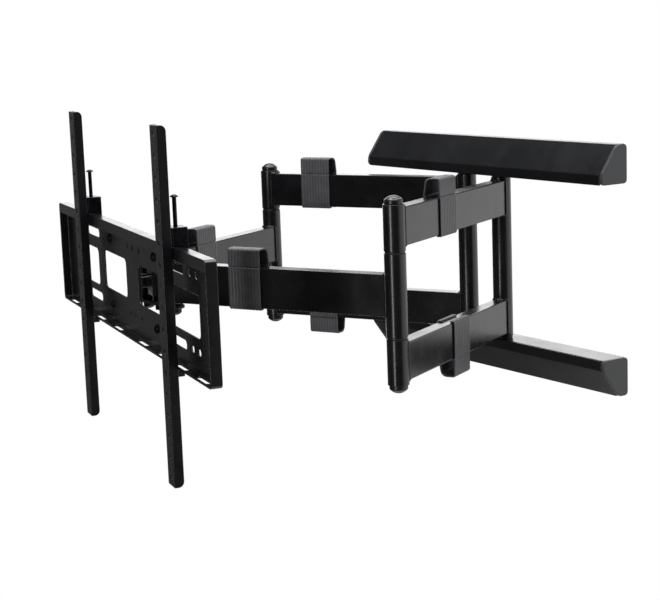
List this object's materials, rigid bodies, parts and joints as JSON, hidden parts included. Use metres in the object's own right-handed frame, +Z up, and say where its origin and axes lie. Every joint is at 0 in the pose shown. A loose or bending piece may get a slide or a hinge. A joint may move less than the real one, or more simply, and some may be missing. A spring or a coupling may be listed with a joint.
{
  "type": "full motion tv wall mount",
  "caption": "Articulated wall mount: two folding double-bar arms between a covered wall frame and a tilting, swivelling plate with sliding slotted rails.",
  "frame": {"origin": "centre of the four stud slots, on the wall face between the upper and lower wall channels", "axes": "+X to the right along the wall, +Y into the wall, +Z up"},
  "size_m": [0.7382, 0.5673, 0.42],
  "materials": {
    "powder_coat": "fine textured black powder coat",
    "satin_plastic": "satin moulded black ABS",
    "grey_plastic": "moulded dark grey ABS",
    "clip_plastic": "moulded charcoal polypropylene",
    "zinc_steel": "bright zinc plate",
    "black_steel": "black zinc plate",
    "nylon": "black nylon"
  },
  "bodies": {
    "wall_frame": {"upper_wall_channel": "powder_coat", "lower_wall_channel": "powder_coat", "upper_cover": "satin_plastic", "lower_cover": "satin_plastic", "upper_end_caps": "grey_plastic", "lower_end_caps": "grey_plastic", "shoulder_bolts": "zinc_steel", "shoulder_nuts": "zinc_steel", "shoulder_washers": "nylon"},
    "right_rear_arm": {"right_rear_upper_bar": "powder_coat", "right_rear_lower_bar": "powder_coat", "right_shoulder_tube": "powder_coat", "right_elbow_upper_knuckle": "powder_coat", "right_elbow_lower_knuckle": "powder_coat", "right_rear_bushes": "nylon", "right_rear_upper_clip": "clip_plastic", "right_rear_lower_clip": "clip_plastic"},
    "right_elbow_pin": {"right_elbow_bolt": "zinc_steel", "right_elbow_washers": "nylon", "right_elbow_caps": "satin_plastic"},
    "right_forearm": {"right_forearm_bar": "powder_coat", "right_forearm_elbow_knuckle": "powder_coat", "right_forearm_head_knuckle": "powder_coat", "right_forearm_bushes": "nylon", "right_forearm_clip": "clip_plastic"},
    "left_rear_arm": {"left_rear_upper_bar": "powder_coat", "left_rear_lower_bar": "powder_coat", "left_shoulder_tube": "powder_coat", "left_elbow_upper_knuckle": "powder_coat", "left_elbow_lower_knuckle": "powder_coat", "left_rear_bushes": "nylon", "left_rear_upper_clip": "clip_plastic", "left_rear_lower_clip": "clip_plastic"},
    "left_elbow_pin": {"left_elbow_bolt": "zinc_steel", "left_elbow_washers": "nylon", "left_elbow_caps": "satin_plastic"},
    "left_forearm": {"left_forearm_bar": "powder_coat", "left_forearm_elbow_knuckle": "powder_coat", "left_forearm_head_knuckle": "powder_coat", "left_forearm_bushes": "nylon", "left_forearm_clip": "clip_plastic"},
    "yoke": {"head_yoke": "powder_coat", "head_bolts": "black_steel", "head_caps": "satin_plastic", "swivel_bolt": "black_steel"},
    "swivel": {"swivel_tube": "powder_coat", "swivel_bracket": "powder_coat", "tilt_bolt": "black_steel", "tilt_nuts": "black_steel"},
    "plate": {"tilt_frame": "powder_coat", "tv_plate": "powder_coat", "plate_bolts": "black_steel"},
    "left_carriage": {"left_rail": "powder_coat", "left_hook": "black_steel", "left_lower_hook": "satin_plastic"},
    "left_levelling_screw": {"left_screw": "black_steel"},
    "right_carriage": {"right_rail": "powder_coat", "right_hook": "black_steel", "right_lower_hook": "satin_plastic"},
    "right_levelling_screw": {"right_screw": "black_steel"}
  },
  "joints": [
    {"name": "right_shoulder", "type": "hinge", "parent": "wall_frame", "child": "right_rear_arm", "pos_m": [0.036, -0.026, 0], "axis": [0, 0, -1], "range_deg": [-49, 19]},
    {"name": "left_shoulder", "type": "hinge", "parent": "wall_frame", "child": "left_rear_arm", "pos_m": [-0.036, -0.026, 0], "axis": [0, 0, -1], "range_deg": [-56, 12]},
    {"name": "right_elbow_bolt_turn", "type": "hinge", "parent": "right_rear_arm", "child": "right_elbow_pin", "pos_m": [0.17946, -0.30756, 0], "axis": [0, 0, -1], "range_deg": [-19, 49]},
    {"name": "right_elbow", "type": "hinge", "parent": "right_elbow_pin", "child": "right_forearm", "pos_m": [0.17946, -0.30756, 0], "axis": [0, 0, -1], "range_deg": [-56, 12]},
    {"name": "left_elbow_bolt_turn", "type": "hinge", "parent": "left_rear_arm", "child": "left_elbow_pin", "pos_m": [-0.32002, -0.16453, 0], "axis": [0, 0, -1], "range_deg": [-12, 56]},
    {"name": "left_elbow", "type": "hinge", "parent": "left_elbow_pin", "child": "left_forearm", "pos_m": [-0.32002, -0.16453, 0], "axis": [0, 0, -1], "range_deg": [-49, 19]},
    {"name": "right_head_pivot", "type": "hinge", "parent": "right_forearm", "child": "yoke", "pos_m": [-0.10456, -0.44608, 0], "axis": [0, 0, -1], "range_deg": [-12, 56]},
    {"name": "head_swivel", "type": "hinge", "parent": "yoke", "child": "swivel", "pos_m": [-0.14056, -0.44608, 0], "axis": [0, 0, -1], "range_deg": [-34, 10]},
    {"name": "head_tilt", "type": "hinge", "parent": "swivel", "child": "plate", "pos_m": [-0.14513, -0.4676, 0], "axis": [0.9781, -0.2079, 0], "range_deg": [-5, 10]},
    {"name": "left_rail_slide", "type": "slide", "parent": "plate", "child": "left_carriage", "axis": [0.9781, -0.2079, 0], "range_m": [-0.115, 0.12]},
    {"name": "right_rail_slide", "type": "slide", "parent": "plate", "child": "right_carriage", "axis": [0.9781, -0.2079, 0], "range_m": [-0.155, 0.08]},
    {"name": "left_screw_turn", "type": "hinge", "parent": "left_carriage", "child": "left_levelling_screw", "pos_m": [-0.32711, -0.44835, 0.09], "axis": [0, 0, 1], "range_deg": [-180, 180]},
    {"name": "right_screw_turn", "type": "hinge", "parent": "right_carriage", "child": "right_levelling_screw", "pos_m": [0.06415, -0.53151, 0.09], "axis": [0, 0, 1], "range_deg": [-180, 180]}
  ],
  "couplings": [
    {"joint": "right_elbow_bolt_turn", "follows": "right_shoulder", "ratio": -1},
    {"joint": "right_elbow", "follows": "left_shoulder", "ratio": 1},
    {"joint": "left_elbow_bolt_turn", "follows": "left_shoulder", "ratio": -1},
    {"joint": "left_elbow", "follows": "right_shoulder", "ratio": 1},
    {"joint": "right_head_pivot", "follows": "left_shoulder", "ratio": -1}
  ]
}
